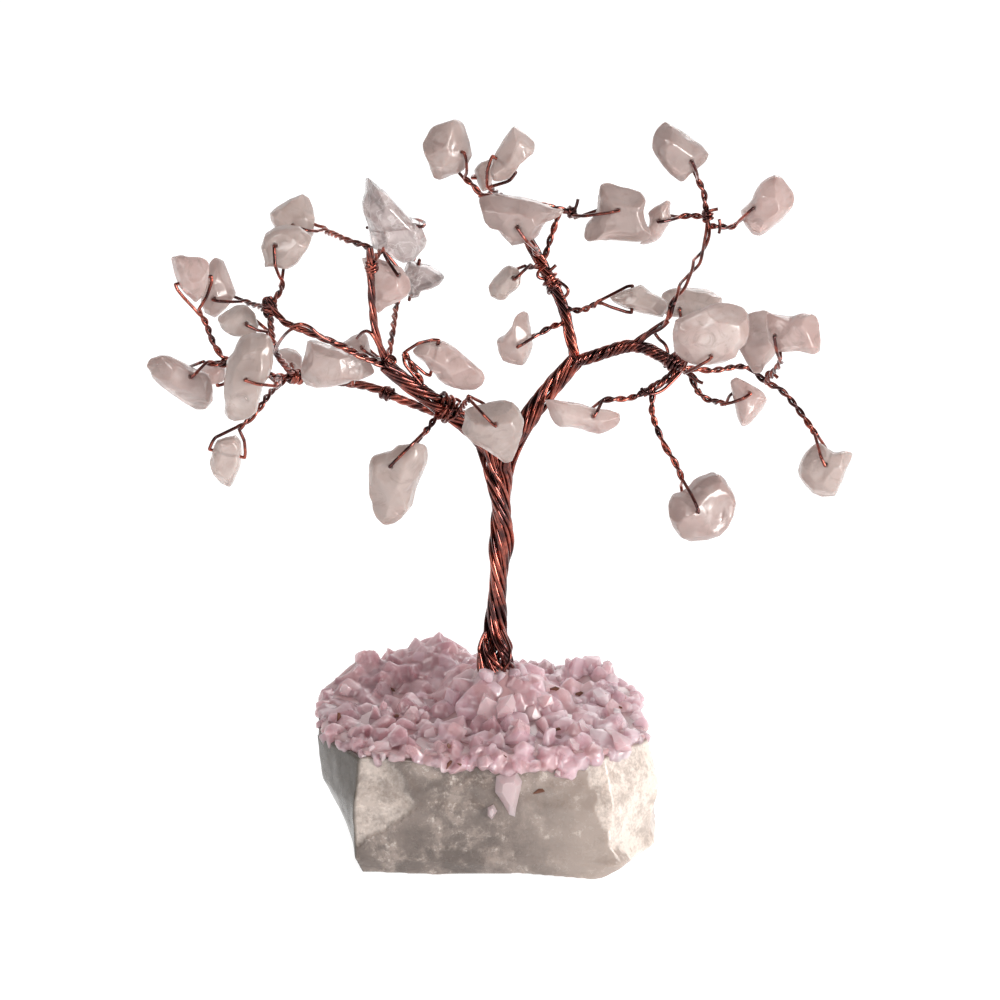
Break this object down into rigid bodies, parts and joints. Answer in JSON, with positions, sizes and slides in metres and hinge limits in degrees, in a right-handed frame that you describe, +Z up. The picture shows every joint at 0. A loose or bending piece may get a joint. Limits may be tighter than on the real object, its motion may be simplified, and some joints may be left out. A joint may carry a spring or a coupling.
{
  "type": "gemstone tree ornament",
  "caption": "Free-standing tree of twisted copper wire with drilled rose quartz chips that turn on their wire loops, on a raw quartz block covered with crushed quartz.",
  "frame": {"origin": "on the block's flat underside, straight below the trunk", "axes": "+Z up along the trunk, -Y towards the viewer, +X to the viewer's right"},
  "size_m": [0.1018, 0.0429, 0.1068],
  "materials": {
    "raw_quartz": "rough broken quartz",
    "crushed_quartz": "glossy crushed crystals",
    "rose_quartz": "tumbled and polished",
    "glue": "clear set glue",
    "copper": "lacquered dark copper"
  },
  "bodies": {
    "tree": {"base_stone": "raw_quartz", "glue_bed": "glue", "crushed_front": "crushed_quartz", "crushed_back": "crushed_quartz", "trunk_core": "copper", "trunk_strands": "copper", "left_bough": "copper", "right_bough": "copper", "right_limb": "copper", "upper_bough": "copper", "left_low_strand": "copper", "left_high_strand": "copper", "left_outer_strands": "copper", "left_risers": "copper", "right_riser": "copper", "right_outer_strand": "copper", "right_low_strands": "copper", "top_crossbar": "copper", "binding_wraps": "copper", "left_twigs": "copper", "centre_twigs": "copper", "top_twigs": "copper", "right_twigs": "copper"},
    "left_gem_01_body": {"left_gem_01": "rose_quartz"},
    "left_gem_02_body": {"left_gem_02": "rose_quartz"},
    "left_gem_03_body": {"left_gem_03": "rose_quartz"},
    "left_gem_04_body": {"left_gem_04": "rose_quartz"},
    "left_gem_05_body": {"left_gem_05": "rose_quartz"},
    "left_gem_06_body": {"left_gem_06": "rose_quartz"},
    "left_gem_07_body": {"left_gem_07": "rose_quartz"},
    "left_gem_08_body": {"left_gem_08": "rose_quartz"},
    "left_gem_09_body": {"left_gem_09": "rose_quartz"},
    "left_gem_10_body": {"left_gem_10": "rose_quartz"},
    "left_gem_11_body": {"left_gem_11": "rose_quartz"},
    "left_gem_12_body": {"left_gem_12": "rose_quartz"},
    "left_gem_13_body": {"left_gem_13": "rose_quartz"},
    "left_gem_14_body": {"left_gem_14": "rose_quartz"},
    "left_gem_15_body": {"left_gem_15": "rose_quartz"},
    "left_gem_16_body": {"left_gem_16": "rose_quartz"},
    "left_gem_17_body": {"left_gem_17": "rose_quartz"},
    "centre_gem_01_body": {"centre_gem_01": "rose_quartz"},
    "centre_gem_02_body": {"centre_gem_02": "rose_quartz"},
    "centre_gem_03_body": {"centre_gem_03": "rose_quartz"},
    "centre_gem_04_body": {"centre_gem_04": "rose_quartz"},
    "top_gem_01_body": {"top_gem_01": "rose_quartz"},
    "top_gem_02_body": {"top_gem_02": "rose_quartz"},
    "top_gem_03_body": {"top_gem_03": "rose_quartz"},
    "top_gem_04_body": {"top_gem_04": "rose_quartz"},
    "top_gem_05_body": {"top_gem_05": "rose_quartz"},
    "top_gem_06_body": {"top_gem_06": "rose_quartz"},
    "top_gem_07_body": {"top_gem_07": "rose_quartz"},
    "top_gem_08_body": {"top_gem_08": "rose_quartz"},
    "right_gem_01_body": {"right_gem_01": "rose_quartz"},
    "right_gem_02_body": {"right_gem_02": "rose_quartz"},
    "right_gem_03_body": {"right_gem_03": "rose_quartz"},
    "right_gem_04_body": {"right_gem_04": "rose_quartz"},
    "right_gem_05_body": {"right_gem_05": "rose_quartz"},
    "right_gem_06_body": {"right_gem_06": "rose_quartz"},
    "right_gem_07_body": {"right_gem_07": "rose_quartz"},
    "right_gem_08_body": {"right_gem_08": "rose_quartz"}
  },
  "joints": [
    {"name": "left_gem_01_turn", "type": "hinge", "parent": "tree", "child": "left_gem_01_body", "pos_m": [-0.03016, 0.00587, 0.09217], "axis": [0.241, -0.9666, -0.0872], "range_deg": [-12, 12]},
    {"name": "left_gem_02_turn", "type": "hinge", "parent": "tree", "child": "left_gem_02_body", "pos_m": [-0.03121, -0.00183, 0.09023], "axis": [-0.2059, -0.9686, 0.1392], "range_deg": [-12, 12]},
    {"name": "left_gem_03_turn", "type": "hinge", "parent": "tree", "child": "left_gem_03_body", "pos_m": [-0.04385, -0.00383, 0.08543], "axis": [0.961, 0.2031, 0.1879], "range_deg": [-12, 12]},
    {"name": "left_gem_04_turn", "type": "hinge", "parent": "tree", "child": "left_gem_04_body", "pos_m": [-0.041, 0.00521, 0.08119], "axis": [-0.1392, -0.9903, 0], "range_deg": [-12, 12]},
    {"name": "left_gem_05_turn", "type": "hinge", "parent": "tree", "child": "left_gem_05_body", "pos_m": [-0.0361, -0.00296, 0.07968], "axis": [0.1029, -0.9794, -0.1736], "range_deg": [-10, 10]},
    {"name": "left_gem_06_turn", "type": "hinge", "parent": "tree", "child": "left_gem_06_body", "pos_m": [-0.04477, -0.00215, 0.07134], "axis": [0.2578, -0.9623, 0.0872], "range_deg": [-12, 12]},
    {"name": "left_gem_07_turn", "type": "hinge", "parent": "tree", "child": "left_gem_07_body", "pos_m": [-0.04158, 0.00596, 0.06926], "axis": [-0.0868, 0.0076, 0.9962], "range_deg": [-10, 10]},
    {"name": "left_gem_08_turn", "type": "hinge", "parent": "tree", "child": "left_gem_08_body", "pos_m": [-0.03488, -0.00927, 0.07288], "axis": [-0.2074, -0.9758, 0.0698], "range_deg": [-12, 12]},
    {"name": "left_gem_09_turn", "type": "hinge", "parent": "tree", "child": "left_gem_09_body", "pos_m": [-0.03901, -0.00393, 0.05983], "axis": [0.9354, 0.1988, -0.2924], "range_deg": [-12, 12]},
    {"name": "left_gem_10_turn", "type": "hinge", "parent": "tree", "child": "left_gem_10_body", "pos_m": [-0.03122, 0.01561, 0.06864], "axis": [0.1384, -0.9848, -0.1045], "range_deg": [-10, 10]},
    {"name": "left_gem_11_turn", "type": "hinge", "parent": "tree", "child": "left_gem_11_body", "pos_m": [-0.02116, -0.00047, 0.07196], "axis": [-0.0182, -0.1029, 0.9945], "range_deg": [-8, 8]},
    {"name": "left_gem_12_turn", "type": "hinge", "parent": "tree", "child": "left_gem_12_body", "pos_m": [-0.0202, 0.00723, 0.07334], "axis": [0.1045, -0.9945, 0], "range_deg": [-10, 10]},
    {"name": "left_gem_13_turn", "type": "hinge", "parent": "tree", "child": "left_gem_13_body", "pos_m": [-0.01444, 0.00423, 0.09162], "axis": [0.8912, -0.4402, 0.1094], "range_deg": [-10, 10]},
    {"name": "left_gem_14_turn", "type": "hinge", "parent": "tree", "child": "left_gem_14_body", "pos_m": [-0.01398, -0.00245, 0.08615], "axis": [-0.104, -0.9891, 0.1045], "range_deg": [-8, 8]},
    {"name": "left_gem_15_turn", "type": "hinge", "parent": "tree", "child": "left_gem_15_body", "pos_m": [-0.01224, 0.01043, 0.08272], "axis": [0.2588, 0.101, 0.9606], "range_deg": [-10, 10]},
    {"name": "left_gem_16_turn", "type": "hinge", "parent": "tree", "child": "left_gem_16_body", "pos_m": [-0.00922, -0.00227, 0.07346], "axis": [0.2135, -0.3446, 0.9142], "range_deg": [-10, 10]},
    {"name": "left_gem_17_turn", "type": "hinge", "parent": "tree", "child": "left_gem_17_body", "pos_m": [-0.01475, -0.00526, 0.05886], "axis": [-0.2406, -0.965, 0.1045], "range_deg": [-12, 12]},
    {"name": "centre_gem_01_turn", "type": "hinge", "parent": "tree", "child": "centre_gem_01_body", "pos_m": [-0.00055, -0.0098, 0.06685], "axis": [0.0863, -0.9865, -0.1392], "range_deg": [-8, 8]},
    {"name": "centre_gem_02_turn", "type": "hinge", "parent": "tree", "child": "centre_gem_02_body", "pos_m": [0.01331, -0.00779, 0.06674], "axis": [0.1371, -0.9752, 0.1736], "range_deg": [-8, 8]},
    {"name": "centre_gem_03_turn", "type": "hinge", "parent": "tree", "child": "centre_gem_03_body", "pos_m": [0.0035, 0.00139, 0.07508], "axis": [-0.2588, -0.9659, 0], "range_deg": [-12, 12]},
    {"name": "centre_gem_04_turn", "type": "hinge", "parent": "tree", "child": "centre_gem_04_body", "pos_m": [0.00203, 0.00056, 0.08519], "axis": [0.1736, -0.9848, 0], "range_deg": [-12, 12]},
    {"name": "top_gem_01_turn", "type": "hinge", "parent": "tree", "child": "top_gem_01_body", "pos_m": [-0.00621, 0.00765, 0.10223], "axis": [0.5261, -0.8504, -0.0008], "range_deg": [-12, 12]},
    {"name": "top_gem_02_turn", "type": "hinge", "parent": "tree", "child": "top_gem_02_body", "pos_m": [0.00087, 0.00275, 0.10107], "axis": [0.7913, 0.1682, -0.5878], "range_deg": [-12, 12]},
    {"name": "top_gem_03_turn", "type": "hinge", "parent": "tree", "child": "top_gem_03_body", "pos_m": [-0.00191, 0.0136, 0.09704], "axis": [1, 0, 0], "range_deg": [-10, 10]},
    {"name": "top_gem_04_turn", "type": "hinge", "parent": "tree", "child": "top_gem_04_body", "pos_m": [0.00259, 0.00002, 0.09334], "axis": [0.0687, -0.9824, -0.1736], "range_deg": [-10, 10]},
    {"name": "top_gem_05_turn", "type": "hinge", "parent": "tree", "child": "top_gem_05_body", "pos_m": [0.0171, 0.00601, 0.09405], "axis": [0.1043, -0.9921, 0.0698], "range_deg": [-8, 8]},
    {"name": "top_gem_06_turn", "type": "hinge", "parent": "tree", "child": "top_gem_06_body", "pos_m": [0.02387, 0.01234, 0.09117], "axis": [-0.1736, -0.9848, 0], "range_deg": [-10, 10]},
    {"name": "top_gem_07_turn", "type": "hinge", "parent": "tree", "child": "top_gem_07_body", "pos_m": [0.02761, 0.00928, 0.10092], "axis": [0.1727, -0.9794, -0.1045], "range_deg": [-12, 12]},
    {"name": "top_gem_08_turn", "type": "hinge", "parent": "tree", "child": "top_gem_08_body", "pos_m": [0.03821, 0.01338, 0.09291], "axis": [-0.2578, -0.9623, 0.0872], "range_deg": [-12, 12]},
    {"name": "right_gem_01_turn", "type": "hinge", "parent": "tree", "child": "right_gem_01_body", "pos_m": [0.01931, -0.00024, 0.0817], "axis": [0.0565, 0.7538, 0.6547], "range_deg": [-10, 10]},
    {"name": "right_gem_02_turn", "type": "hinge", "parent": "tree", "child": "right_gem_02_body", "pos_m": [0.02687, 0.00935, 0.07874], "axis": [-0.0872, -0.9962, 0], "range_deg": [-8, 8]},
    {"name": "right_gem_03_turn", "type": "hinge", "parent": "tree", "child": "right_gem_03_body", "pos_m": [0.02975, -0.00711, 0.07614], "axis": [0.1386, -0.9865, -0.0872], "range_deg": [-8, 8]},
    {"name": "right_gem_04_turn", "type": "hinge", "parent": "tree", "child": "right_gem_04_body", "pos_m": [0.03779, 0, 0.07557], "axis": [1, 0, 0], "range_deg": [-10, 10]},
    {"name": "right_gem_05_turn", "type": "hinge", "parent": "tree", "child": "right_gem_05_body", "pos_m": [0.03954, -0.00663, 0.07851], "axis": [-0.2079, -0.9781, 0], "range_deg": [-8, 8]},
    {"name": "right_gem_06_turn", "type": "hinge", "parent": "tree", "child": "right_gem_06_body", "pos_m": [0.03556, -0.0059, 0.06979], "axis": [0.2071, -0.9744, 0.0872], "range_deg": [-12, 12]},
    {"name": "right_gem_07_turn", "type": "hinge", "parent": "tree", "child": "right_gem_07_body", "pos_m": [0.0277, -0.0104, 0.05378], "axis": [0.2413, -0.9679, 0.0698], "range_deg": [-12, 12]},
    {"name": "right_gem_08_turn", "type": "hinge", "parent": "tree", "child": "right_gem_08_body", "pos_m": [0.04754, -0.00702, 0.05952], "axis": [-0.2574, -0.9606, 0.1045], "range_deg": [-12, 12]}
  ]
}
